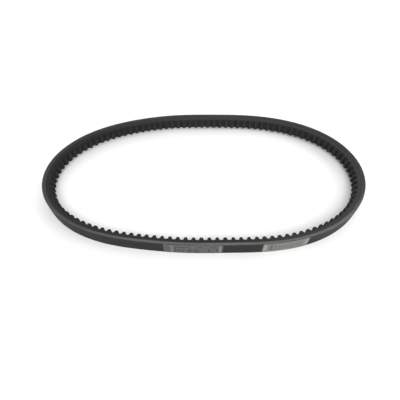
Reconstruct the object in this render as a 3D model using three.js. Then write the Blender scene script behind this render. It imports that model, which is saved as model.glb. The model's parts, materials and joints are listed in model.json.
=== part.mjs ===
// A raw-edge cogged V-belt in the relaxed oval that it takes on a bench, lying on its side edge.
// Millimetres, +Z up. The loop lies flat and is longest along X, its width runs along Z,
// and the origin is the middle of its bounding box.
// Four bonded layers run round the loop: cover fabric, tension gum, cord ply and the cogged base.
// Each layer is split into links at cog valleys, so that the loop can flex about hinge lines
// on the cord.
// Depths are measured inward from the back. Places round the loop are counted in cog pitches,
// counterclockwise from the +X end.
import * as THREE from 'three';

const DEGREE = Math.PI / 180;

// ---- section ----
const BACK_WIDTH = 13;
const HEIGHT = 8;               // back to cog tips
const FLANK_ANGLE = 20 * DEGREE; // each side of the wedge
const OUTSIDE_LENGTH = 675;     // round the back
const CORD_DEPTH = 2.45;        // neutral line
const BOND = 0.05;              // bond line between layers

// outer face of each layer
const TENSION_TOP = 0.9;
const CORD_TOP = 1.9;
const BASE_TOP = 3.0;

const LAYERS = [
  {
    name: 'cover_fabric',
    outer: 0,
    inner: TENSION_TOP - BOND,
    finish: { color: 0x404040, roughness: 0.85 },
  },
  {
    name: 'tension_gum',
    outer: TENSION_TOP,
    inner: CORD_TOP - BOND,
    finish: { color: 0x6a6a68, roughness: 0.8 },
  },
  {
    name: 'cord_ply',
    outer: CORD_TOP,
    inner: BASE_TOP - BOND,
    finish: { color: 0x77756f, roughness: 0.75 },
  },
];
const BASE_FINISH = { color: 0x353534, roughness: 0.7 };

// ---- links ----
// short links where the loop's curve changes most as it flexes, long ones where it hardly does
const COGS_PER_LINK = [8, 5, 5, 12, 4, 9, 4, 16, 5, 5, 17, 6, 8, 8];
const COGS = COGS_PER_LINK.reduce((total, cogs) => total + cogs, 0);
const END_GAP = 0.09;           // at the hinge line, each side
const CLOSE_HALF = 6.2 * DEGREE; // angle that each link end leaves free inside the cord line
const OPEN_HALF = 7.2 * DEGREE;  // and outside it

// ---- cogs ----
const COG_DEPTH = 2.4;
const COG_PHASE = 0.92;         // place of the first valley
const OPEN_VALLEY = 43 + COG_PHASE; // where the loop is left open
// one pitch from its valley, up to the next: [fraction of the pitch, share of COG_DEPTH cut away]
const COG_PROFILE = [
  [0, 1], [0.13, 1], [0.22, 0.76], [0.31, 0.16], [0.38, 0],
  [0.62, 0], [0.69, 0.16], [0.78, 0.76], [0.87, 1],
];

// ---- loop shape ----
// the back is r = 1 + sum(a cos(k t) + b sin(k t)), scaled to OUTSIDE_LENGTH: [k, a, b]
const HARMONICS = [
  [2, 0.3186, 0.0051], [3, -0.0097, -0.0091], [4, 0.0517, 0.0051],
  [5, -0.0060, -0.0044], [6, 0.0062, 0.0022],
];
const LOOP_SAMPLES = 14400;

// ---- labels, just clear of the back ----
const LABEL_WIDTH = 12.3;
const LABEL_OUTER = -0.2;
const LABEL_INNER = -0.05;
const LABEL_FINISH = { color: 0x8a8a88, roughness: 0.6 };
const LABELS = [
  { name: 'size_label', from: 78.71, to: 86.10 },
  { name: 'code_label', from: 91.06, to: 96.95 },
];

// ---- the back as a dense closed curve ----
function unitOutline() {
  const outline = [];
  for (let i = 0; i < LOOP_SAMPLES; i++) {
    const angle = (i / LOOP_SAMPLES) * 2 * Math.PI;
    let radius = 1;
    for (const [k, a, b] of HARMONICS) {
      radius += a * Math.cos(k * angle) + b * Math.sin(k * angle);
    }
    outline.push({ x: radius * Math.cos(angle), y: radius * Math.sin(angle) });
  }
  return outline;
}

const distance = (from, to) => Math.hypot(to.x - from.x, to.y - from.y);

// samples of the back, each with its tangent angle and the cord length up to it;
// the last sample repeats the first, one full turn on
function makeLoop() {
  const outline = unitOutline();
  const sample = (i) => outline[(i + LOOP_SAMPLES) % LOOP_SAMPLES];
  let unitLength = 0;
  for (let i = 0; i < LOOP_SAMPLES; i++) unitLength += distance(sample(i), sample(i + 1));
  const scale = OUTSIDE_LENGTH / unitLength;

  const samples = [];
  for (let i = 0; i <= LOOP_SAMPLES; i++) {
    const { x, y } = sample(i);
    const before = sample(i - 1);
    const after = sample(i + 1);
    let tangent = Math.atan2(after.y - before.y, after.x - before.x);
    let cord = 0;
    if (i > 0) {
      const previous = samples[i - 1];
      // keep the angle continuous past half a turn
      while (tangent < previous.tangent - Math.PI) tangent += 2 * Math.PI;
      while (tangent > previous.tangent + Math.PI) tangent -= 2 * Math.PI;
      const step = distance(before, { x, y }) * scale;
      // the cord lies inside the back, so each bend shortens it
      cord = previous.cord + step - CORD_DEPTH * (tangent - previous.tangent);
    }
    samples.push({ x: x * scale, y: y * scale, tangent, cord });
  }
  return samples;
}

const loop = makeLoop();
const PITCH = loop[LOOP_SAMPLES].cord / COGS;

const mix = (from, to, fraction) => from + fraction * (to - from);

// the point on the back, and the inward direction, at a place from 0 to COGS
function onLoop(pitches) {
  const cord = pitches * PITCH;
  let low = 0;
  let high = LOOP_SAMPLES;
  while (high - low > 1) {
    const middle = (low + high) >> 1;
    if (loop[middle].cord <= cord) low = middle;
    else high = middle;
  }
  const from = loop[low];
  const to = loop[high];
  const fraction = (cord - from.cord) / (to.cord - from.cord);
  const tangent = mix(from.tangent, to.tangent, fraction);
  return {
    x: mix(from.x, to.x, fraction),
    y: mix(from.y, to.y, fraction),
    inwardX: -Math.sin(tangent),
    inwardY: Math.cos(tangent),
  };
}

// the belt is a ring of flat-sided wedges, one to a cog, that meet at the valleys
const valleys = [];
for (let i = 0; i < COGS; i++) valleys.push(onLoop(i + COG_PHASE));

// the [x, y] of any place and depth, in its wedge
function place(pitches, depth) {
  let fromValley = pitches - COG_PHASE;
  fromValley -= Math.floor(fromValley / COGS) * COGS;
  const wedge = Math.min(Math.floor(fromValley + 1e-9), COGS - 1);
  const fraction = fromValley - wedge;
  const start = valleys[wedge];
  const end = valleys[(wedge + 1) % COGS];
  return [
    mix(start.x + start.inwardX * depth, end.x + end.inwardX * depth, fraction),
    mix(start.y + start.inwardY * depth, end.y + end.inwardY * depth, fraction),
  ];
}

// ---- swept bars ----
const flankHalfWidth = (depth) => BACK_WIDTH / 2 - depth * Math.tan(FLANK_ANGLE);
const labelHalfWidth = () => LABEL_WIDTH / 2;

// a closed bar through stations { atOuter, atInner, outer, inner }: a place and a depth for each
// face; the corners run outer top, outer bottom, inner bottom, inner top
function sweep(stations, halfWidth) {
  const points = [];
  for (const { atOuter, atInner, outer, inner } of stations) {
    const outerXY = place(atOuter, outer);
    const innerXY = place(atInner, inner);
    points.push(...outerXY, halfWidth(outer));
    points.push(...outerXY, -halfWidth(outer));
    points.push(...innerXY, -halfWidth(inner));
    points.push(...innerXY, halfWidth(inner));
  }
  const last = (stations.length - 1) * 4;
  const faces = [0, 2, 1, 0, 3, 2];
  faces.push(last, last + 1, last + 2, last, last + 2, last + 3);
  for (let i = 0; i < last; i += 4) {
    for (let k = 0; k < 4; k++) {
      const next = (k + 1) % 4;
      faces.push(i + k, i + next, i + 4 + next);
      faces.push(i + k, i + 4 + next, i + 4 + k);
    }
  }
  const geometry = new THREE.BufferGeometry();
  geometry.setAttribute('position', new THREE.Float32BufferAttribute(points, 3));
  geometry.setIndex(faces);
  return geometry;
}

// how far a link's end stands back from its hinge line at a depth, in cog pitches
function standBack(depth) {
  const fromCord = depth - CORD_DEPTH;
  const half = fromCord > 0 ? CLOSE_HALF : OPEN_HALF;
  return (END_GAP + Math.abs(fromCord) * Math.tan(half)) / PITCH;
}

// a bar through cuts { at, outer, inner }, with its two ends stood back from the hinge lines
function linkBar(cuts) {
  const stations = cuts.map(({ at, outer, inner }, i) => {
    let end = 0;
    if (i === 0) end = 1;
    if (i === cuts.length - 1) end = -1;
    return {
      atOuter: at + end * standBack(outer),
      atInner: at + end * standBack(inner),
      outer,
      inner,
    };
  });
  return sweep(stations, flankHalfWidth);
}

function plainLayer(first, cogs, { outer, inner }) {
  const cuts = [];
  for (let i = 0; i <= cogs; i++) cuts.push({ at: first + i, outer, inner });
  return linkBar(cuts);
}

function coggedBase(first, cogs) {
  const cuts = [];
  for (let i = 0; i < cogs; i++) {
    for (const [fraction, cutAway] of COG_PROFILE) {
      const inner = HEIGHT - COG_DEPTH * cutAway;
      cuts.push({ at: first + i + fraction, outer: BASE_TOP, inner });
    }
  }
  cuts.push({ at: first + cogs, outer: BASE_TOP, inner: HEIGHT - COG_DEPTH });
  return linkBar(cuts);
}

// a label follows the flat wedges, so it bends at each valley that it crosses
function labelBar(from, to) {
  const places = [from];
  for (let at = Math.ceil(from - COG_PHASE) + COG_PHASE; at < to; at++) places.push(at);
  places.push(to);
  const stations = places.map((at) => (
    { atOuter: at, atInner: at, outer: LABEL_OUTER, inner: LABEL_INNER }
  ));
  return sweep(stations, labelHalfWidth);
}

// ---- assembly ----
function addMesh(parent, name, geometry, finish) {
  const material = new THREE.MeshStandardMaterial({ ...finish, metalness: 0, flatShading: true });
  const mesh = new THREE.Mesh(geometry, material);
  mesh.name = name;
  parent.add(mesh);
}

function makeLink(tag, first, cogs) {
  const link = new THREE.Group();
  link.name = `link_${tag}`;
  for (const layer of LAYERS) {
    addMesh(link, `${layer.name}_${tag}`, plainLayer(first, cogs, layer), layer.finish);
  }
  addMesh(link, `cogged_base_${tag}`, coggedBase(first, cogs), BASE_FINISH);
  return link;
}

const belt = new THREE.Group();
belt.name = 'v_belt';
const links = [];
const hinges = [place(OPEN_VALLEY, CORD_DEPTH)];
let first = OPEN_VALLEY;
COGS_PER_LINK.forEach((cogs, i) => {
  const link = makeLink(String(i + 1).padStart(2, '0'), first, cogs);
  const last = first + cogs;
  belt.add(link);
  links.push({ link, first, last });
  hinges.push(place(last, CORD_DEPTH));
  first = last;
});

for (const { name, from, to } of LABELS) {
  const host = links.find((span) => span.first <= from && to <= span.last);
  addMesh(host.link, name, labelBar(from, to), LABEL_FINISH);
}

const middle = new THREE.Box3().setFromObject(belt, true).getCenter(new THREE.Vector3());
for (const { link } of links) link.position.sub(middle);

// hinge centres on the cord line, one at each link end: the first and last are the same open pivot
belt.userData.hinges = hinges.map(([x, y]) => [x - middle.x, y - middle.y, -middle.z]);

export default belt;
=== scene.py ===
# A cogged V-belt lying on its side: an oval loop in the XY plane, its width along Z, centred on z = 0.
# It has four plies (cover, tension gum, cord, cogged base) and two printed labels on its back face.
# The loop is opened at one pivot and is cut into pieces along its chain of links.
# Shapes are worked out in mm along the belt and turned into metres. Three words recur:
#   place   how far along the belt, in cog pitches
#   depth   inward from the nominal back face, mm
#   z       across the belt, mm
import bpy
import bmesh
import json
import math
import numpy as np
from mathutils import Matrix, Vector, noise

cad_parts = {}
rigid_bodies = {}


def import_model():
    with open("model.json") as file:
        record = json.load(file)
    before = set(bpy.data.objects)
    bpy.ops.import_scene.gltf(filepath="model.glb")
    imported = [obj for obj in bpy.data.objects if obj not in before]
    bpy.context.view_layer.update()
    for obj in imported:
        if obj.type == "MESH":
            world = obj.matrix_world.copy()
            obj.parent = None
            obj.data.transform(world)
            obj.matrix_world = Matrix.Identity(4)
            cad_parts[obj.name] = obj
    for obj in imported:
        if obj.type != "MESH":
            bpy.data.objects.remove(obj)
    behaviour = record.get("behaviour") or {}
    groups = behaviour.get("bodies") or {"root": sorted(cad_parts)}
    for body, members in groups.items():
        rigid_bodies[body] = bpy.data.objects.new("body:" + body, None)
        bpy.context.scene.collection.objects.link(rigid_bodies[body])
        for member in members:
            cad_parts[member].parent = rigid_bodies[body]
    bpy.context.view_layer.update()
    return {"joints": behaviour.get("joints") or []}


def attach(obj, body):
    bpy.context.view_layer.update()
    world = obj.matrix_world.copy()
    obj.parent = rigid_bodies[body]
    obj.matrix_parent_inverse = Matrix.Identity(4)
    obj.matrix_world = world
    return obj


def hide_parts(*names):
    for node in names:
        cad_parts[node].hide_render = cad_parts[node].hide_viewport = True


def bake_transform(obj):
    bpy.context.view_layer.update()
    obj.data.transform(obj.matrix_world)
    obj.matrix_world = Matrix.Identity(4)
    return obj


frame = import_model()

MM = 0.001

# ------------------------------------------------------------------ the belt's line
TOP_WIDTH = 13.0
HEIGHT = 8.0
FLANK = math.tan(math.radians(20))     # each side leans in by this much per mm of depth
OUTSIDE = 675.0                        # length round the back face
CORD_DEPTH = 2.45
COGS = 112
COG_DEPTH = 2.4
PHASE = 0.92                           # where the first cog begins, in pitches
# the loop's radius against the polar angle: harmonic, cosine part, sine part
HARMONICS = [
    (2, .3186, .0051), (3, -.0097, -.0091), (4, .0517, .0051),
    (5, -.0060, -.0044), (6, .0062, .0022),
]
COGS_PER_LINK = [8, 5, 5, 12, 4, 9, 4, 16, 5, 5, 17, 6, 8, 8]
LINKS = len(COGS_PER_LINK)
START = 43 + PHASE                     # the open pivot
BOUND = START + np.r_[0, np.cumsum(COGS_PER_LINK)]
# how far each bend spreads to either side of its hinge, in pitches: the hinges that turn most get most
REACH = [1.81, 3.19, 1.81, 0.70, 3.30, 3.00, 1.00, 1.98, 3.02, 1.98, 2.67, 3.33, 4.00]
PIVOT_REACH = 4                        # the same, for the open pivot at both ends


def make_loop(count=14400):
    """x, y, heading and length along the cord, all round the back face; the last point closes the loop."""
    polar = np.arange(count) / count * 2 * np.pi
    radius = 1 + sum(a * np.cos(k * polar) + b * np.sin(k * polar) for k, a, b in HARMONICS)
    x, y = radius * np.cos(polar), radius * np.sin(polar)
    scale = OUTSIDE / np.hypot(np.roll(x, -1) - x, np.roll(y, -1) - y).sum()
    x, y = x * scale, y * scale
    dx = np.roll(x, -1) - np.roll(x, 1)
    dy = np.roll(y, -1) - np.roll(y, 1)
    heading = np.unwrap(np.arctan2(dy, dx))
    heading = np.r_[heading, heading[0] + 2 * np.pi]
    step = np.hypot(np.roll(x, -1) - x, np.roll(y, -1) - y)
    # the cord lies inside the back face, so it is shorter by its depth times the turn
    cord = np.r_[0, np.cumsum(step)] - CORD_DEPTH * (heading - heading[0])
    return np.r_[x, x[0]], np.r_[y, y[0]], heading, cord


LOOP_X, LOOP_Y, LOOP_HEADING, LOOP_CORD = make_loop()
PITCH = LOOP_CORD[-1] / COGS


def line(place):
    """Back point and inward normal, in the loop's own frame."""
    length = np.asarray(place, float) * PITCH
    length = length - np.floor(length / LOOP_CORD[-1]) * LOOP_CORD[-1]
    heading = np.interp(length, LOOP_CORD, LOOP_HEADING)
    x = np.interp(length, LOOP_CORD, LOOP_X)
    y = np.interp(length, LOOP_CORD, LOOP_Y)
    return x, y, -np.sin(heading), np.cos(heading)


def at_cord(place):
    x, y, nx, ny = line(place)
    return x + nx * CORD_DEPTH, y + ny * CORD_DEPTH


# one packed hinge places the loop's own frame in the scene
hinge = next(j for j in frame["joints"] if j["name"] == "oval_flex")
hinge_x, hinge_y = at_cord(BOUND[9])
ORIGIN_X = hinge["pos_m"][0] * 1000 - float(hinge_x)
ORIGIN_Y = hinge["pos_m"][1] * 1000 - float(hinge_y)
for joint in frame["joints"]:      # every other hinge has to sit on the line too
    link = max(int(joint["parent"][-2:]), int(joint["child"][-2:])) - 1
    x, y = at_cord(BOUND[link])
    off = math.hypot(x + ORIGIN_X - joint["pos_m"][0] * 1000, y + ORIGIN_Y - joint["pos_m"][1] * 1000)
    if off > 0.05:
        raise SystemExit(f"hinge {joint['name']} is {off:.3f} mm off the belt's line")


def half_width(depth):
    return TOP_WIDTH / 2 - depth * FLANK


def wobble(x, y, z):
    return noise.noise(Vector((x, y, z)))


def smooth(t):
    t = np.clip(t, 0, 1)
    return t * t * (3 - 2 * t)


# ------------------------------------------------------------------ the cogs
COG_VAR = np.random.default_rng(7).normal(0, 1, (COGS, 4))   # per cog: lean, width, height, spare
WALL_FOOT = 0.155       # a cog's wall begins this far into its pitch
WALL_RUN = 0.22         # and takes this much of the pitch
CROWN_HALF = 0.26       # half the width of the cog's rounded crown, in pitches
VALLEY_HALF = 0.16      # half the width of the rounded valley floor


def cog_depth(place):
    """Depth of the toothed face: rounded cogs and valleys, each cog a little different."""
    phase = np.asarray(place, float) - PHASE
    var = COG_VAR[np.floor(phase).astype(int) % COGS]
    part = phase - np.floor(phase)
    lean = 0.006 * var[:, 0]
    wide = 0.010 * var[:, 1]

    def wall(into, lean):
        """0 to 1 up one wall: a fillet at the foot, a straight part and a rounded shoulder."""
        t = np.clip((into - WALL_FOOT + wide + lean) / WALL_RUN, 0, 1)
        return np.sin(smooth(t * 0.5 + 0.5 * t ** 2) * np.pi / 2)

    up = wall(part, lean) * wall(1 - part, -lean)
    crown = 0.16 * (1 - np.clip(np.abs(part - 0.5 - lean) / CROWN_HALF, 0, 1) ** 2) - 0.08
    valley = 0.10 * np.clip(1 - np.minimum(part, 1 - part) / VALLEY_HALF, 0, 1) ** 2
    return HEIGHT - 0.06 - COG_DEPTH * (1 - up) + crown * up - valley + 0.03 * var[:, 2] * up


# ------------------------------------------------------------------ meshes
def solid(name, points, faces, belt, sharp, ink=None):
    """A closed, smooth-shaded object with edges sharp from the angle given in radians.
    The attribute "belt" keeps (length along, depth, z) in mm for the materials."""
    mesh = bpy.data.meshes.new(name)
    mesh.from_pydata(points.tolist(), [], faces)
    kept = mesh.attributes.new("belt", "FLOAT_VECTOR", "POINT")
    kept.data.foreach_set("vector", belt.astype(np.float32).ravel())
    if ink is not None:
        kept = mesh.attributes.new("ink", "FLOAT", "POINT")
        kept.data.foreach_set("value", ink.astype(np.float32))
    bm = bmesh.new()
    bm.from_mesh(mesh)
    caps = [f for f in bm.faces if len(f.verts) > 4]
    bmesh.ops.triangulate(bm, faces=caps, quad_method="BEAUTY", ngon_method="EAR_CLIP")
    bmesh.ops.recalc_face_normals(bm, faces=bm.faces)
    if bm.calc_volume(signed=True) < 0:
        bmesh.ops.reverse_faces(bm, faces=bm.faces)
    for face in bm.faces:
        face.smooth = True
    for edge in bm.edges:
        edge.smooth = len(edge.link_faces) == 2 and edge.calc_face_angle(0) < sharp
    bm.to_mesh(mesh)
    bm.free()
    ob = bpy.data.objects.new(name, mesh)
    bpy.context.scene.collection.objects.link(ob)
    return ob


def sweep(name, stations, rings):
    """A closed bar with end caps; at each station a ring of (depth, z)."""
    rings = np.array(rings)
    n, m = rings.shape[:2]
    depth, z = rings[..., 0], rings[..., 1]
    x, y, nx, ny = line(stations)
    px = x[:, None] + nx[:, None] * depth + ORIGIN_X
    py = y[:, None] + ny[:, None] * depth + ORIGIN_Y
    points = np.stack([px, py, z], -1).reshape(-1, 3) * MM
    along = np.repeat(stations[:, None] * PITCH, m, 1)
    belt = np.stack([along, depth, z], -1).reshape(-1, 3)
    i = np.arange(n - 1)[:, None] * m
    j = np.arange(m)[None, :]
    j2 = (j + 1) % m
    quads = np.stack([i + j, i + j2, i + m + j2, i + m + j], -1).reshape(-1, 4)
    faces = [tuple(q) for q in quads]
    faces += [tuple(range(m))[::-1], tuple(range((n - 1) * m, n * m))]
    return solid(name, points, faces, belt, sharp=math.radians(38))


# depths at which the plies begin; each ends a bond line short of the next
TENSION_TOP, CORD_TOP, BASE_TOP = 0.9, 1.9, 3.0
BOND = 0.015
BOND_RECESS = 0.035     # the cut edge steps in this far at a bond line


def flank_noise(place, depth, side, amp, fine=1.0):
    """Small unevenness of a ground rubber side, mm."""
    return amp * wobble(place * PITCH * 0.9 * fine, depth * 2.1 * fine, side * 7.3)


def cover_ring(place):
    """Back face with a slight crown and softly worn edges."""
    back = half_width(0)
    inner = TENSION_TOP - BOND

    def edge(side, seed):
        r = 0.43 + 0.09 * wobble(place * PITCH * 0.25, seed, 0)
        points = [(inner, side * (half_width(inner) - 0.03)),
                  (inner - 0.05, side * half_width(inner - 0.05))]
        for degrees in (0, 22, 45, 68, 90):
            t = math.radians(degrees)
            z = back - r * FLANK * 0.5 - r * (1 - math.cos(t))
            points.append((r * (1 - math.sin(t)), side * z))
        return points

    crown = [(-0.05 * (1 - f * f) + 0.012 * wobble(place * PITCH * 0.5, f * 5, 2.2), f * back)
             for f in (0.72, 0.45, 0.15, -0.15, -0.45, -0.72)]
    return edge(1, seed=3.1) + crown + edge(-1, seed=9.7)[::-1]


def band_ring(place, top, end, proud=0.0):
    """A ply between two depths, recessed at each bond line; the cord can stand proud of its edges."""
    def edge(side):
        points = []
        for f in (0.0, 0.05, 0.25, 0.5, 0.75, 0.95, 1.0):
            depth = top + (end - top) * f
            w = half_width(depth) + flank_noise(place, depth, side, amp=0.014, fine=1.6)
            if f in (0.0, 1.0):
                w -= BOND_RECESS
            if proud:
                swell = math.exp(-((depth - CORD_DEPTH) / 0.16) ** 2)
                w += swell * proud * (0.65 + 0.5 * wobble(place * PITCH * 0.35, side * 3.0, 5.0))
            points.append((depth, side * w))
        return points
    return edge(1)[::-1] + edge(-1)


def base_ring(place, face):
    """The cogged ply, from its bond line to the toothed face at depth face."""
    def flank(side):
        points = []
        for f in (0.0, 0.012, 0.12, 0.3, 0.5, 0.7, 0.86):
            depth = BASE_TOP + (face - 0.22 - BASE_TOP) * f
            w = half_width(depth) + flank_noise(place, depth, side, amp=0.016)
            if f == 0.0:
                w -= BOND_RECESS
            points.append((depth, side * w))
        r = 0.2             # rounded corner
        for degrees in (0, 35, 65, 90):
            t = math.radians(degrees)
            z = half_width(face) + 0.05 - r * 0.6 * (1 - math.cos(t))
            points.append((face - r + r * math.sin(t), side * z))
        return points

    w = half_width(face)
    inner = [(face + 0.02 * wobble(place * PITCH * 1.3, f * 4.0, 8.8), f * w)
             for f in (0.78, 0.5, 0.2, -0.1, -0.4, -0.7)]
    return flank(1) + inner + flank(-1)[::-1]


# stations within one cog, as parts of its pitch: up to the middle, then mirrored
HALF_COG = [0, .05, .10, .14, .165, .19, .21, .23, .25, .27, .29, .31, .335, .36, .39, .42, .46]
FRACTIONS = np.array(HALF_COG + [.5] + [1 - f for f in HALF_COG[:0:-1]])
MIN_STEP = 0.004            # no station this close to a piece's end


def base_stations(start, end):
    places = [start, end]
    for cog in range(int(math.floor(start - PHASE)) - 1, int(math.ceil(end - PHASE)) + 1):
        places += [cog + PHASE + f for f in FRACTIONS
                   if start + MIN_STEP < cog + PHASE + f < end - MIN_STEP]
    return np.array(sorted(places))


def even_stations(start, end, per_pitch=5):
    return np.linspace(start, end, max(2, int(round((end - start) * per_pitch))) + 1)


def cover_piece(name, start, end):
    stations = even_stations(start, end)
    return sweep(name, stations, [cover_ring(p) for p in stations])


def tension_piece(name, start, end):
    stations = even_stations(start, end)
    return sweep(name, stations, [band_ring(p, TENSION_TOP, CORD_TOP - BOND) for p in stations])


def cord_piece(name, start, end):
    stations = even_stations(start, end)
    return sweep(name, stations, [band_ring(p, CORD_TOP, BASE_TOP - BOND, proud=0.07) for p in stations])


def base_piece(name, start, end):
    stations = base_stations(start, end)
    return sweep(name, stations, [base_ring(p, f) for p, f in zip(stations, cog_depth(stations))])


# ------------------------------------------------------------------ materials
class Nodes:
    """A small helper for node materials. Inputs may be sockets, numbers or tuples."""
    def __init__(self, name):
        self.mat = bpy.data.materials.new(name)
        self.mat.use_nodes = True
        self.tree = self.mat.node_tree
        self.tree.nodes.clear()
        out = self.new("OutputMaterial")
        self.bsdf = self.new("BsdfPrincipled")
        self.put(out.inputs[0], self.bsdf.outputs[0])
        split = self.new("SeparateXYZ")
        self.put(split.inputs[0], self.attribute("belt").outputs["Vector"])
        self.along, self.depth, self.z = split.outputs
        # patterns run from the place opposite the open pivot, so that they meet there from both sides
        fold = self.math("ABSOLUTE", self.minus(self.along, (START + COGS / 2) * PITCH))
        join = self.new("CombineXYZ")
        for i, v in enumerate((fold, self.depth, self.z)):
            self.put(join.inputs[i], v)
        self.pos = join.outputs[0]

    def new(self, kind):
        return self.tree.nodes.new("ShaderNode" + kind)

    def attribute(self, name):
        node = self.new("Attribute")
        node.attribute_name = name
        return node

    def put(self, socket, v):
        if isinstance(v, bpy.types.NodeSocket):
            self.tree.links.new(v, socket)
        elif v is not None:
            socket.default_value = v

    def math(self, op, *values):
        node = self.new("Math")
        node.operation = op
        for i, v in enumerate(values):
            self.put(node.inputs[i], v)
        return node.outputs[0]

    def plus(self, a, b):
        return self.math("ADD", a, b)

    def minus(self, a, b):
        return self.math("SUBTRACT", a, b)

    def times(self, a, by):
        return self.math("MULTIPLY", a, by)

    def linear(self, a, by, plus):
        """a * by + plus"""
        return self.math("MULTIPLY_ADD", a, by, plus)

    def blend(self, a, b, fac):
        """From number a to number b."""
        return self.linear(self.minus(b, a), fac, a)

    def stretched(self, freq):
        node = self.new("VectorMath")
        node.operation = "MULTIPLY"
        self.put(node.inputs[0], self.pos)
        node.inputs[1].default_value = freq
        return node.outputs[0]

    def noise(self, freq, detail=3.0, rough=0.55):
        """freq: features per mm along, in depth and across."""
        node = self.new("TexNoise")
        self.put(node.inputs["Vector"], self.stretched(freq))
        node.inputs["Scale"].default_value = 1.0
        node.inputs["Detail"].default_value = detail
        node.inputs["Roughness"].default_value = rough
        return node.outputs["Fac"]

    def cells(self, freq, scale):
        node = self.new("TexVoronoi")
        self.put(node.inputs["Vector"], self.stretched(freq))
        node.inputs["Scale"].default_value = scale
        return node.outputs["Distance"]

    def ramp(self, v, span, to=(0.0, 1.0)):
        """Eased from one end of span to the other."""
        node = self.new("MapRange")
        node.interpolation_type = "SMOOTHSTEP"
        self.put(node.inputs["Value"], v)
        node.inputs["From Min"].default_value, node.inputs["From Max"].default_value = span
        node.inputs["To Min"].default_value, node.inputs["To Max"].default_value = to
        return node.outputs["Result"]

    def crossed(self, u, v, pitch, shift=None):
        """The product of two sine waves, pitch mm long."""
        k = 2 * math.pi / pitch
        waves = [self.math("SINE", self.times(w, by=k) if shift is None else self.linear(w, k, shift))
                 for w in (u, v)]
        return self.times(*waves)

    def bias(self, shift=None):
        """Bias-cut weave: threads at plus and minus 45 degrees to the belt's length."""
        return self.crossed(self.plus(self.along, self.z), self.minus(self.along, self.z), 0.92, shift)

    def mix(self, a, b, fac):
        """From colour a to colour b."""
        node = self.new("Mix")
        node.data_type = "RGBA"
        self.put(node.inputs[0], fac)
        self.put(node.inputs[6], a)
        self.put(node.inputs[7], b)
        return node.outputs[2]

    def bump(self, height, strength, distance):
        node = self.new("Bump")
        node.inputs["Strength"].default_value = strength
        node.inputs["Distance"].default_value = distance
        self.put(node.inputs["Height"], height)
        return node.outputs[0]

    def finish(self, color, rough, spec, normal=None):
        self.put(self.bsdf.inputs["Base Color"], color)
        self.put(self.bsdf.inputs["Roughness"], rough)
        self.put(self.bsdf.inputs["Specular IOR Level"], spec)
        self.put(self.bsdf.inputs["Normal"], normal)
        return self.mat


# colour leans, as factors on red, green and blue
NEUTRAL = (1, 1, 1)
WARM = (1.01, 1, 0.99)
FIBRE = (1.02, 1, 0.98)
CORD = (1.03, 1, 0.97)
OLIVE = (0.975, 1.0, 0.92)
# spans of noise, and the roughness they are turned into
MID = (0.3, 0.7)
WIDE = (0.2, 0.8)
GROUND_ROUGH = (0.36, 0.46)
MATT_ROUGH = (0.58, 0.74)
LABEL_ROUGH = (0.42, 0.55)


def grey(level, lean=NEUTRAL):
    """A linear RGBA colour from an sRGB grey level 0-255."""
    c = level / 255
    c = c / 12.92 if c <= 0.04045 else ((c + 0.055) / 1.055) ** 2.4
    return (*(c * k for k in lean), 1)


def polish(net):
    """Shine of the upper plies' cut edge: uneven, and strongest on the run that carries the labels."""
    slow = net.ramp(net.noise((0.02, 0, 0), detail=2), span=MID, to=(0.85, 1.1))
    fine = net.ramp(net.noise((0.15, 0.6, 0.6)), span=MID, to=(0.85, 1.1))
    worn = net.times(net.ramp(net.along, span=(64 * PITCH, 80 * PITCH)),
                     net.ramp(net.along, span=(101 * PITCH, 109 * PITCH), to=(1.0, 0.0)))
    return net.times(net.times(slow, fine), net.linear(worn, by=0.32, plus=0.18))


def painted_shade_factor(net):
    """0 to 1, slowly round the belt: a painted shade factor, largest towards the loop's left end, where less
    light falls; there the rubber is painted darkest, and is least polished.
    """
    angle = net.times(net.minus(net.along, 70 * PITCH), by=2 * math.pi / (COGS * PITCH))
    return net.ramp(net.math("COSINE", angle), span=(-0.9, 0.8))


def from_side(net):
    """Distance in from the ground side, mm."""
    return net.minus(net.linear(net.depth, by=-FLANK, plus=TOP_WIDTH / 2), net.math("ABSOLUTE", net.z))


def ground_rubber(net, low, high, fibre):
    """Short pale fibres lie across the belt, with fine scratches along it; the numbers are grey levels."""
    grind = net.noise((0.12, 7.0, 7.0), detail=4, rough=0.6)
    blot = net.noise((0.05, 0.4, 0.4))
    speck = net.cells((2.6, 1.1, 1.1), scale=1.6)
    base = net.mix(grey(low), grey(high, WARM), fac=net.ramp(blot, span=MID))
    base = net.mix(base, grey(high + 12, WARM), fac=net.times(net.ramp(grind, span=(0.45, 0.7)), by=0.35))
    base = net.mix(base, grey(fibre, FIBRE), fac=net.ramp(speck, span=(0.16, 0.05), to=(0, 0.5)))
    return base, blot, grind, speck


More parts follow.
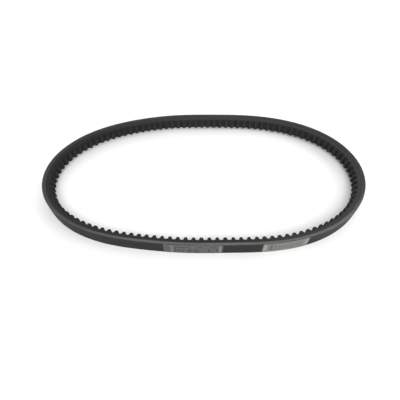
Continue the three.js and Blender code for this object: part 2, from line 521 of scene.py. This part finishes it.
def cover_material():
    net = Nodes("cover_fabric_weave")
    weave = net.bias(shift=net.times(net.noise((0.35, 0, 0.35), detail=2), by=1.4))
    weave = net.linear(weave, by=0.5, plus=0.5)
    blot = net.noise((0.06, 0.3, 0.2), detail=4, rough=0.6)
    dust = net.noise((0.8, 1, 1.6), detail=5, rough=0.65)
    base = net.mix(grey(16, OLIVE), grey(33, OLIVE), fac=net.ramp(blot, span=MID))
    base = net.mix(base, grey(38, OLIVE), fac=net.times(weave, by=0.45))
    base = net.mix(base, grey(60, OLIVE), fac=net.ramp(dust, span=(0.56, 0.78), to=(0, 0.35)))
    # painted shade: the back is darkened towards the loop's left end
    base = net.mix(base, grey(12, OLIVE), fac=net.times(painted_shade_factor(net), by=0.5))
    # the ground side, and the rubbed corner
    rub = net.ramp(net.noise((0.5, 1, 1)), span=(0.35, 0.65), to=(0.30, 0.55))
    side = net.ramp(net.minus(from_side(net), rub), span=(0.10, 0.0))
    cut, *_ = ground_rubber(net, low=44, high=54, fibre=72)
    base = net.mix(base, cut, fac=side)
    rough = net.blend(net.ramp(blot, WIDE, MATT_ROUGH), net.ramp(blot, WIDE, GROUND_ROUGH), fac=side)
    spec = net.plus(net.times(side, polish(net)), net.linear(side, by=-0.24, plus=0.24))
    weave = net.times(weave, net.minus(1.0, side))
    height = net.linear(net.noise((3, 3, 3), detail=4), by=0.6, plus=weave)
    return net.finish(base, rough, spec, net.bump(height, strength=0.55, distance=0.00006))


def tension_material():
    net = Nodes("tension_gum_cut_edge")
    base, blot, *_ = ground_rubber(net, low=44, high=54, fibre=72)
    return net.finish(base, net.ramp(blot, WIDE, GROUND_ROUGH), polish(net))


def cord_material():
    net = Nodes("cord_ply_cut_edge")
    base, blot, *_ = ground_rubber(net, low=42, high=52, fibre=70)
    # the cord shows as a paler twisted line where the cut edge grazes it
    off = net.math("ABSOLUTE", net.minus(net.depth, CORD_DEPTH))
    twist = net.math("SINE", net.linear(net.along, by=4.2, plus=net.times(net.depth, by=6.0)))
    strand = net.times(net.ramp(off, span=(0.34, 0.12)), net.linear(twist, by=0.25, plus=0.6))
    patchy = net.ramp(net.noise((0.22, 0, 0)), span=(0.38, 0.6), to=(0.3, 1.0))
    base = net.mix(base, grey(74, CORD), fac=net.times(strand, patchy))
    # darker and duller below a wandering line
    wander = net.ramp(net.noise((0.3, 0, 0)), span=MID, to=(-0.08, 0.08))
    low = net.ramp(net.plus(net.depth, wander), span=(2.22, 2.52))
    base = net.mix(base, grey(38), fac=low)
    rough = net.blend(net.ramp(blot, WIDE, GROUND_ROUGH), b=0.66, fac=low)
    return net.finish(base, rough, net.blend(polish(net), b=0.2, fac=low))


def base_material():
    net = Nodes("cogged_base_rubber")
    base, blot, grind, speck = ground_rubber(net, low=36, high=45, fibre=58)
    painted_shade = painted_shade_factor(net)
    # painted light and shade: the rubber is painted paler on the lit part of the loop and darker where the
    # painted shade factor is large
    base = net.mix(net.mix(base, grey(58), fac=0.35), net.mix(base, grey(26, OLIVE), fac=0.55), fac=painted_shade)
    # the ground side darkens on the cogs
    base = net.mix(base, grey(28), fac=net.times(net.ramp(net.depth, span=(4.6, 6.2)), by=0.8))
    # the moulded cog faces carry a fabric imprint
    on_face = net.ramp(from_side(net), span=(0.10, 0.45))
    imprint = net.linear(net.crossed(net.along, net.z, pitch=0.7), by=0.5, plus=0.5)
    mottle = net.ramp(net.noise((0.4, 0.4, 0.4), detail=4), span=MID)
    face = net.mix(grey(32), grey(42, WARM), fac=mottle)
    face = net.mix(face, grey(52, WARM), fac=net.times(imprint, by=0.25))
    base = net.mix(base, face, fac=on_face)
    height = net.linear(grind, by=0.7, plus=net.times(speck, by=0.5))
    height = net.plus(height, net.times(net.times(imprint, on_face), by=0.8))
    return net.finish(base, net.ramp(blot, WIDE, MATT_ROUGH), net.blend(a=0.17, b=0.08, fac=painted_shade),
                      net.bump(height, strength=0.5, distance=0.00006))


def label_material(name, field, dark, light, lean):
    """field, dark and light: grey levels of the bare patch, of full ink and of the pale gaps."""
    net = Nodes(name)
    ink = net.attribute("ink").outputs["Fac"]
    blot = net.noise((0.25, 0, 0.5), detail=4, rough=0.6)
    fine = net.noise((2.2, 0, 2.2), detail=4, rough=0.7)
    base = net.mix(grey(field - 8, lean), grey(field + 8, lean), fac=net.ramp(blot, span=MID))
    inked = net.times(net.math("MAXIMUM", ink, 0.0), net.ramp(fine, span=(0.3, 0.5), to=(0.6, 1.0)))
    base = net.mix(base, grey(dark, lean), fac=inked)
    base = net.mix(base, grey(light, lean), fac=net.math("MAXIMUM", net.times(ink, by=-1.0), 0.0))
    wear = net.ramp(net.noise((0.9, 0, 1.4), detail=5, rough=0.7), span=(0.60, 0.68))
    base = net.mix(base, grey(58), fac=net.times(wear, by=0.45))
    height = net.linear(net.bias(), by=0.4, plus=fine)
    return net.finish(base, net.ramp(blot, WIDE, LABEL_ROUGH), spec=0.4,
                      normal=net.bump(height, strength=0.35, distance=0.00004))


# ------------------------------------------------------------------ the plies, one piece per bend
BACK_OFF = 0.8 / PITCH             # the reach worked out in hook stops this far short of its piece's ends
OPEN_JOIN = 0.015 / PITCH          # the loop's two ends stand back from the open pivot, and never rub

# within each link the belt is cut midway between the two bends that reach into it
reaches = [PIVOT_REACH, *REACH, PIVOT_REACH]
CUTS = [float(BOUND[k] + BOUND[k + 1] + reaches[k] - reaches[k + 1]) / 2 for k in range(LINKS)]
ENDS = [START + OPEN_JOIN, *CUTS, BOUND[-1] - OPEN_JOIN]
TAGS = ["head"] + [f"bend_{k:02d}" for k in range(1, LINKS)] + ["tail"]
SPANS = list(enumerate(zip(ENDS, ENDS[1:])))


def cord_point(place):
    x, y = at_cord(place)
    return ((float(x) + ORIGIN_X) * MM, (float(y) + ORIGIN_Y) * MM, 0.0)


def hook(ob, i, start, end):
    """Tie an object in span i, from start to end, to link_01 if it is the first span or to the last link if
    it is the last; an object in a middle span is not tied to a link, and only has its transform baked.
    """
    if i == 0:
        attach(ob, "link_01")
    elif i == LINKS:
        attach(ob, f"link_{LINKS:02d}")
    else:
        pivot = BOUND[i]
        reach = min(pivot - start, end - pivot, REACH[i - 1]) - BACK_OFF
        cord_point(pivot - reach)
        cord_point(pivot + reach)
        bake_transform(ob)


PLIES = [
    ("cover_fabric", cover_piece, cover_material()),
    ("tension_gum", tension_piece, tension_material()),
    ("cord_ply", cord_piece, cord_material()),
    ("cogged_base", base_piece, base_material()),
]
for ply, make, material in PLIES:
    for i, (start, end) in SPANS:
        ob = make(f"{ply}_{TAGS[i]}", start, end)
        ob.data.materials.append(material)
        hook(ob, i, start, end)
        # a span stands for the link it ends in, so that each CAD node is stood for once
        if i < LINKS:
            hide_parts(f"{ply}_{i + 1:02d}")

# ------------------------------------------------------------------ printed labels: generic bars
LABEL_WIDTH = 12.1
INK_THICKNESS = 0.06
SIZE_SPAN = (78.71, 86.10)         # places
CODE_SPAN = (91.06, 96.95)


# Marks are (strength, u0, u1, v0, v1): u along and v across (upward), mm.
# A strength above 0 is dark ink, one below 0 is paler than the bare field. Later marks go over earlier ones.
def size_marks():
    """Long bars above, upright ones below, none touching."""
    r = np.random.default_rng(21)
    marks = [(0.95, u0, u1, 2.0, 3.5) for u0, u1 in ((7.9, 18.8), (23.4, 28.8), (34.0, 38.6))]
    marks += [(1.0, u0, u0 + w, -4.6, 0.7)
              for u0, w in ((7.8, 1.4), (18.3, 1.5), (23.2, 1.3), (32.6, 1.5), (38.7, 1.3))]
    at = 10.4
    while at < 31:
        w = r.uniform(0.7, 2.0)
        if not 17.4 < at + w < 20.4:
            marks.append((r.uniform(0.45, 0.9), at, at + w, -3.8, r.uniform(-1.4, 0.2)))
        at += w + r.uniform(1.0, 2.2)
    for u0 in (1.6, 3.9):          # upright bars near u = 0
        marks += [(0.8, u0, u0 + 0.9, -4.4, 3.0), (-0.55, u0 + 0.9, u0 + 1.9, -4.6, 4.6)]
    return marks + [(-0.7, 6.0, 7.2, -4.6, 4.6), (-1.0, 40.9, 42.2, -5.2, 5.2)]


def code_marks():
    """A row of tall bars over a row of short ones."""
    r = np.random.default_rng(34)
    length = (CODE_SPAN[1] - CODE_SPAN[0]) * PITCH
    marks = []
    at = 4.0
    while at < length - 3.6:
        w = r.uniform(0.5, 1.7)
        marks.append((r.uniform(0.5, 1.0), at, at + w, r.uniform(-4.2, -3.0), r.uniform(2.4, 4.4)))
        gap = r.uniform(0.7, 1.6)
        if r.random() < 0.6:
            marks.append((-r.uniform(0.6, 1.0), at + w, at + w + gap, -4.0, 4.2))
        at += w + gap
    at = 9.0
    while at < length - 3:
        w = r.uniform(0.4, 1.4)
        marks.append((r.uniform(0.5, 0.9), at, at + w, -5.5, -4.9))
        at += w + r.uniform(0.4, 1.6)
    return marks + [(-0.7, 0.6, 3.2, -4.4, 4.6), (-0.7, length - 2.6, length - 0.8, -2.0, 5.0)]


def paint(marks, u, v, soft=0.22):
    """Ink at u, v; each bar's edges fade over soft mm."""
    ink = np.zeros_like(u)
    for strength, u0, u1, v0, v1 in marks:
        box = (smooth((u - u0) / soft + 0.5) * smooth((u1 - u) / soft + 0.5)
               * smooth((v - v0) / soft + 0.5) * smooth((v1 - v) / soft + 0.5))
        if strength > 0:
            ink = np.maximum(ink, strength * box)
        else:
            ink = ink * (1 - box) + strength * box
    # inked parts darken towards the lower edge
    return np.where(ink > 0, np.maximum(ink, 0.7 * smooth((-v - 5.1) / 0.6)), ink)


def label_piece(name, marks, whole, start, end):
    """Part of a thin printed patch; whole is the patch's full span."""
    n, m = max(8, int((end - start) * PITCH / 0.16)), 68
    across = np.linspace(LABEL_WIDTH / 2, -LABEL_WIDTH / 2, m)
    place, z = np.meshgrid(np.linspace(start, end, n), across, indexing="ij")
    # free ends a little uneven, as transferred ink is
    ragged = 0.03 * np.array([wobble(v * 1.7, whole[0], 0) for v in across])[None, :]
    if start == whole[0]:
        place = place + ragged * (1 - (place - start) / (end - start)) ** 6
    if end == whole[1]:
        place = place + ragged * ((place - start) / (end - start)) ** 6
    depth = (-0.05 * (1 - (z / 6.5) ** 2) - 0.065).ravel()
    x, y, nx, ny = line(place.ravel())

    def sheet(d):
        return np.stack([x + nx * d + ORIGIN_X, y + ny * d + ORIGIN_Y, z.ravel()], -1) * MM

    points = np.r_[sheet(depth), sheet(depth + INK_THICKNESS)]
    belt = np.stack([place.ravel() * PITCH, depth, z.ravel()], -1)
    idx = np.arange(n * m).reshape(n, m)
    top = np.stack([idx[:-1, :-1], idx[1:, :-1], idx[1:, 1:], idx[:-1, 1:]], -1).reshape(-1, 4)
    under = top[:, ::-1] + n * m
    rim = np.r_[idx[0, :], idx[1:, -1], idx[-1, -2::-1], idx[-2:0:-1, 0]]
    following = np.roll(rim, -1)
    wall = np.stack([rim, following, following + n * m, rim + n * m], -1)
    ink = paint(marks, (place - whole[0]) * PITCH, z).ravel()
    return solid(name, points, [tuple(q) for q in np.r_[top, under, wall]],
                 np.r_[belt, belt], sharp=0.7, ink=np.r_[ink, ink])


LABELS = [
    ("size_label", size_marks(), SIZE_SPAN,
     label_material("label_ink_size", field=72, dark=38, light=112, lean=(0.98, 1.0, 0.93))),
    ("code_label", code_marks(), CODE_SPAN,
     label_material("label_ink_code", field=102, dark=58, light=144, lean=(0.98, 1.0, 0.90))),
]
for label, marks, whole, material in LABELS:
    # cut wherever the belt under it is cut, and hooked as that piece of belt is
    under = [(i, ends) for i, ends in SPANS if ends[0] < whole[1] and ends[1] > whole[0]]
    for part, (i, (start, end)) in enumerate(under):
        ob = label_piece(f"{label}_{part + 1}", marks, whole,
                         float(max(whole[0], start)), float(min(whole[1], end)))
        ob.data.materials.append(material)
        hook(ob, i, start, end)
        if part == 0:
            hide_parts(label)


# ------------------------------------------------------------------ floor, light and camera
def floor_material():
    """Faintly mottled paper that fades to white, for the camera only, away from the belt."""
    paper, mottle = 0.86, 0.015
    mat = bpy.data.materials.new("floor_paper")
    mat.use_nodes = True
    nodes, link = mat.node_tree.nodes, mat.node_tree.links.new
    bsdf = nodes["Principled BSDF"]
    bsdf.inputs["Base Color"].default_value = (paper, paper, paper, 1)
    bsdf.inputs["Roughness"].default_value = 0.85
    bsdf.inputs["Specular IOR Level"].default_value = 0.1
    grain = nodes.new("ShaderNodeTexNoise")
    grain.inputs["Scale"].default_value = 60
    where = nodes.new("ShaderNodeNewGeometry").outputs["Position"]
    link(where, grain.inputs["Vector"])
    tone = nodes.new("ShaderNodeMapRange")
    tone.inputs["To Min"].default_value = paper - mottle
    tone.inputs["To Max"].default_value = paper + mottle
    link(grain.outputs["Fac"], tone.inputs["Value"])
    color = nodes.new("ShaderNodeCombineColor")
    for i in range(3):
        link(tone.outputs[0], color.inputs[i])
    link(color.outputs[0], bsdf.inputs["Base Color"])
    far = nodes.new("ShaderNodeVectorMath")
    far.operation = "LENGTH"
    link(where, far.inputs[0])
    fade = nodes.new("ShaderNodeMapRange")
    fade.interpolation_type = "SMOOTHSTEP"
    link(far.outputs["Value"], fade.inputs["Value"])
    fade.inputs["From Min"].default_value = 0.35
    fade.inputs["From Max"].default_value = 1.6
    gate = nodes.new("ShaderNodeMath")
    gate.operation = "MULTIPLY"
    link(fade.outputs["Result"], gate.inputs[0])
    link(nodes.new("ShaderNodeLightPath").outputs["Is Camera Ray"], gate.inputs[1])
    glare = nodes.new("ShaderNodeEmission")
    glare.inputs["Color"].default_value = (1, 1, 1, 1)
    both = nodes.new("ShaderNodeMixShader")
    for i, source in enumerate((gate, bsdf, glare)):
        link(source.outputs[0], both.inputs[i])
    link(both.outputs[0], nodes["Material Output"].inputs[0])
    return mat


# a hair below the belt's lower edge
bpy.ops.mesh.primitive_plane_add(size=60, location=(0, 0, -TOP_WIDTH / 2 * MM - 0.00005))
floor = bpy.context.object
floor.name = "floor"
floor.data.materials.append(floor_material())


def white_world():
    """A white backdrop, seen whiter than it lights."""
    world = bpy.data.worlds.new("studio")
    bpy.context.scene.world = world
    world.use_nodes = True
    nodes, link = world.node_tree.nodes, world.node_tree.links.new
    sky = nodes["Background"]
    sky.inputs[0].default_value = (1, 1, 1, 1)
    seen = nodes.new("ShaderNodeLightPath")
    glow = nodes.new("ShaderNodeMapRange")
    glow.inputs["To Min"].default_value = 0.86
    glow.inputs["To Max"].default_value = 1.0
    link(seen.outputs["Is Camera Ray"], glow.inputs["Value"])
    link(glow.outputs["Result"], sky.inputs[1])


def area(name, loc, aim, size, power):
    """A rectangular light; metres and watts."""
    light = bpy.data.lights.new(name, "AREA")
    light.shape = "RECTANGLE"
    light.size, light.size_y = size
    light.energy = power
    ob = bpy.data.objects.new(name, light)
    bpy.context.scene.collection.objects.link(ob)
    ob.location = loc
    ob.rotation_euler = (Vector(aim) - Vector(loc)).to_track_quat("-Z", "Y").to_euler()


white_world()
area("window", loc=(0.12, 1.25, 0.42), aim=(0, 0, 0), size=(1.5, 0.6), power=9.5)
area("front", loc=(0.15, -1.0, 1.0), aim=(0, 0, 0), size=(0.9, 0.9), power=9.0)
area("right", loc=(1.05, -0.35, 0.42), aim=(0.05, 0, 0), size=(0.6, 0.5), power=6.5)
area("left", loc=(-1.1, -0.1, 0.35), aim=(-0.05, 0, 0), size=(0.5, 0.5), power=1.2)

CAM_ELEVATION = math.radians(54.789)
CAM_DISTANCE = 262.536 * MM
CAM_AIM = Vector(((ORIGIN_X - 4.968) * MM, (ORIGIN_Y - 26.021) * MM, 0.0))
cam_data = bpy.data.cameras.new("camera")
cam_data.sensor_width = 36
cam_data.lens = 28.989
cam_data.clip_start = 0.005
cam = bpy.data.objects.new("camera", cam_data)
bpy.context.scene.collection.objects.link(cam)
cam.location = CAM_AIM + Vector((0, -math.cos(CAM_ELEVATION), math.sin(CAM_ELEVATION))) * CAM_DISTANCE
cam.rotation_mode = "QUATERNION"
cam.rotation_quaternion = (CAM_AIM - cam.location).to_track_quat("-Z", "Y")
bpy.context.scene.camera = cam
bpy.context.scene.view_settings.view_transform = "Standard"
